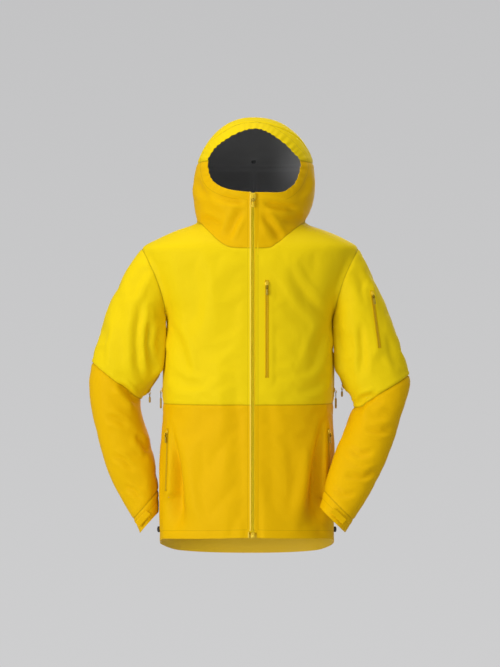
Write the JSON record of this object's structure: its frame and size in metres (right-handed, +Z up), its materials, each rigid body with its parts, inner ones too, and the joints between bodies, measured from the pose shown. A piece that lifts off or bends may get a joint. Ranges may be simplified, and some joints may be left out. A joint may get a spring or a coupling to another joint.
{
  "type": "hardshell jacket",
  "caption": "Hooded waterproof mountain shell jacket, zipped up, with two-tone panels, chest, sleeve, hand and underarm zips, tab cuffs and a dropped back hem.",
  "frame": {"origin": "the point that a hook takes in the hang loop inside the back neck", "axes": "+X to the wearer's left, +Y to the wearer's back, +Z up"},
  "size_m": [0.773, 0.353, 1.064],
  "materials": {
    "shell_lemon": "matte",
    "shell_gold": "matte",
    "lining": "matte",
    "zip_tape": "satin",
    "zip_hardware": "satin",
    "zip_pull": "satin",
    "cord_hardware": "satin"
  },
  "bodies": {
    "root": {"back_upper": "shell_lemon", "back_lower": "shell_gold", "front_left_upper": "shell_lemon", "front_left_lower": "shell_gold", "front_right_upper": "shell_lemon", "front_right_lower": "shell_gold", "collar_left": "shell_gold", "collar_right": "shell_gold", "hood_nape_gusset": "shell_gold", "storm_flap": "shell_gold", "chin_guard": "lining", "main_zip_tape_left": "zip_tape", "main_zip_tape_right": "zip_tape", "main_zip_chain": "zip_tape", "main_zip_box": "zip_hardware", "chest_pocket_bag": "lining", "hand_pocket_bag_left": "shell_gold", "hand_pocket_bag_right": "shell_gold", "hang_loop": "lining", "hem_cord_lock_left": "cord_hardware", "hem_cord_lock_right": "cord_hardware", "chest_zip_tape": "zip_tape", "pit_zip_trunk_left_tape": "zip_tape", "pit_zip_trunk_right_tape": "zip_tape", "hand_zip_left_tape": "zip_tape", "hand_zip_right_tape": "zip_tape"},
    "hood": {"hood_brim": "shell_lemon", "hood_crown": "shell_lemon", "hood_side_left": "shell_gold", "hood_side_right": "shell_gold", "hood_rear_adjuster": "cord_hardware"},
    "sleeve_left": {"sleeve_upper_left": "shell_lemon", "sleeve_zip_tape": "zip_tape", "pit_zip_sleeve_left_tape": "zip_tape"},
    "sleeve_right": {"sleeve_upper_right": "shell_lemon", "pit_zip_sleeve_right_tape": "zip_tape"},
    "forearm_left": {"sleeve_lower_left": "shell_gold", "cuff_band_left": "shell_gold"},
    "forearm_right": {"sleeve_lower_right": "shell_gold", "cuff_band_right": "shell_gold"},
    "cuff_tab_left": {"cuff_tab_left": "shell_gold"},
    "cuff_tab_right": {"cuff_tab_right": "shell_gold"},
    "main_zip_slider": {"main_zip_slider": "zip_hardware"},
    "main_zip_pull": {"main_zip_pull": "zip_pull"},
    "chest_zip_slider": {"chest_zip_slider": "zip_hardware"},
    "chest_zip_pull": {"chest_zip_pull": "zip_pull"},
    "sleeve_zip_slider": {"sleeve_zip_slider": "zip_hardware"},
    "sleeve_zip_pull": {"sleeve_zip_pull": "zip_pull"},
    "pit_zip_trunk_left_slider": {"pit_zip_trunk_left_slider": "zip_hardware"},
    "pit_zip_trunk_left_pull": {"pit_zip_trunk_left_pull": "zip_pull"},
    "pit_zip_trunk_right_slider": {"pit_zip_trunk_right_slider": "zip_hardware"},
    "pit_zip_trunk_right_pull": {"pit_zip_trunk_right_pull": "zip_pull"},
    "pit_zip_sleeve_left_slider": {"pit_zip_sleeve_left_slider": "zip_hardware"},
    "pit_zip_sleeve_left_pull": {"pit_zip_sleeve_left_pull": "zip_pull"},
    "pit_zip_sleeve_right_slider": {"pit_zip_sleeve_right_slider": "zip_hardware"},
    "pit_zip_sleeve_right_pull": {"pit_zip_sleeve_right_pull": "zip_pull"},
    "hand_zip_left_slider": {"hand_zip_left_slider": "zip_hardware"},
    "hand_zip_left_pull": {"hand_zip_left_pull": "zip_pull"},
    "hand_zip_right_slider": {"hand_zip_right_slider": "zip_hardware"},
    "hand_zip_right_pull": {"hand_zip_right_pull": "zip_pull"}
  },
  "joints": [
    {"name": "hood_tilt", "type": "hinge", "parent": "root", "child": "hood", "pos_m": [0, -0.112, 0.09], "axis": [-1, 0, 0], "range_deg": [0, 28], "deforming": ["hood_nape_gusset"]},
    {"name": "shoulder_left", "type": "hinge", "parent": "root", "child": "sleeve_left", "pos_m": [0.2575, -0.082, -0.058], "axis": [0, -1, 0], "range_deg": [0, 50]},
    {"name": "shoulder_right", "type": "hinge", "parent": "root", "child": "sleeve_right", "pos_m": [-0.2665, -0.082, -0.058], "axis": [0, 1, 0], "range_deg": [0, 50]},
    {"name": "elbow_left", "type": "hinge", "parent": "sleeve_left", "child": "forearm_left", "pos_m": [0.3135, -0.181, -0.4005], "axis": [-0.8703, 0, -0.4925], "range_deg": [0, 55]},
    {"name": "elbow_right", "type": "hinge", "parent": "sleeve_right", "child": "forearm_right", "pos_m": [-0.329, -0.157, -0.3765], "axis": [-0.8, 0, 0.6], "range_deg": [0, 55]},
    {"name": "main_zip", "type": "slide", "parent": "root", "child": "main_zip_slider", "axis": [0, 0, -1], "range_m": [0, 0.7716]},
    {"name": "main_zip_pull_flip", "type": "hinge", "parent": "main_zip_slider", "child": "main_zip_pull", "pos_m": [0.002, -0.2379, 0.052], "axis": [-1, 0, 0], "range_deg": [0, 150]},
    {"name": "chest_zip", "type": "slide", "parent": "root", "child": "chest_zip_slider", "axis": [0, 0, -1], "range_m": [0, 0.2]},
    {"name": "chest_zip_pull_flip", "type": "hinge", "parent": "chest_zip_slider", "child": "chest_zip_pull", "pos_m": [0.035, -0.2362, -0.152], "axis": [-1, 0, 0], "range_deg": [0, 110]},
    {"name": "sleeve_zip", "type": "slide", "parent": "sleeve_left", "child": "sleeve_zip_slider", "axis": [0.1252, -0.1559, -0.9798], "range_m": [0, 0.112]},
    {"name": "sleeve_zip_pull_flip", "type": "hinge", "parent": "sleeve_zip_slider", "child": "sleeve_zip_pull", "pos_m": [0.29016, -0.15561, -0.17253], "axis": [-0.8879, -0.4583, -0.0405], "range_deg": [0, 110]},
    {"name": "pit_zip_trunk_left", "type": "slide", "parent": "root", "child": "pit_zip_trunk_left_slider", "axis": [0.0082, 0, 1], "range_m": [0, 0.05]},
    {"name": "pit_zip_trunk_left_pull_flip", "type": "hinge", "parent": "pit_zip_trunk_left_slider", "child": "pit_zip_trunk_left_pull", "pos_m": [0.20261, -0.088, -0.40505], "axis": [0, -1, 0], "range_deg": [0, 55]},
    {"name": "pit_zip_trunk_right", "type": "slide", "parent": "root", "child": "pit_zip_trunk_right_slider", "axis": [0.0184, 0, 0.9998], "range_m": [0, 0.05]},
    {"name": "pit_zip_trunk_right_pull_flip", "type": "hinge", "parent": "pit_zip_trunk_right_slider", "child": "pit_zip_trunk_right_pull", "pos_m": [-0.22026, -0.088, -0.4049], "axis": [0, 1, 0], "range_deg": [0, 55]},
    {"name": "pit_zip_sleeve_left", "type": "slide", "parent": "sleeve_left", "child": "pit_zip_sleeve_left_slider", "axis": [-0.3531, 0.2173, 0.91], "range_m": [0, 0.02]},
    {"name": "pit_zip_sleeve_left_pull_flip", "type": "hinge", "parent": "pit_zip_sleeve_left_slider", "child": "pit_zip_sleeve_left_pull", "pos_m": [0.21706, -0.09825, -0.39704], "axis": [0.137, 0.9906, 0], "range_deg": [0, 80]},
    {"name": "pit_zip_sleeve_right", "type": "slide", "parent": "sleeve_right", "child": "pit_zip_sleeve_right_slider", "axis": [0.564, 0, 0.8258], "range_m": [0, 0.02]},
    {"name": "pit_zip_sleeve_right_pull_flip", "type": "hinge", "parent": "pit_zip_sleeve_right_slider", "child": "pit_zip_sleeve_right_pull", "pos_m": [-0.24726, -0.08186, -0.40938], "axis": [-0.1214, -0.9926, 0], "range_deg": [0, 80]},
    {"name": "hand_zip_left", "type": "slide", "parent": "root", "child": "hand_zip_left_slider", "axis": [0.0127, -0.01, -0.9999], "range_m": [0, 0.13]},
    {"name": "hand_zip_left_pull_flip", "type": "hinge", "parent": "hand_zip_left_slider", "child": "hand_zip_left_pull", "pos_m": [0.18688, -0.15575, -0.50292], "axis": [-0.4907, -0.8713, 0], "range_deg": [0, 110]},
    {"name": "hand_zip_right", "type": "slide", "parent": "root", "child": "hand_zip_right_slider", "axis": [-0.0313, -0.0073, -0.9995], "range_m": [0, 0.13]},
    {"name": "hand_zip_right_pull_flip", "type": "hinge", "parent": "hand_zip_right_slider", "child": "hand_zip_right_pull", "pos_m": [-0.20613, -0.15634, -0.50289], "axis": [-0.5294, 0.8484, 0], "range_deg": [0, 110]},
    {"name": "cuff_tab_peel_left", "type": "hinge", "parent": "forearm_left", "child": "cuff_tab_left", "pos_m": [0.18661, -0.2805, -0.67411], "axis": [-0.658, -0.32, -0.6817], "range_deg": [0, 90]},
    {"name": "cuff_tab_peel_right", "type": "hinge", "parent": "forearm_right", "child": "cuff_tab_right", "pos_m": [-0.24879, -0.1215, -0.69299], "axis": [-0.7507, 0, 0.6606], "range_deg": [0, 90]}
  ]
}
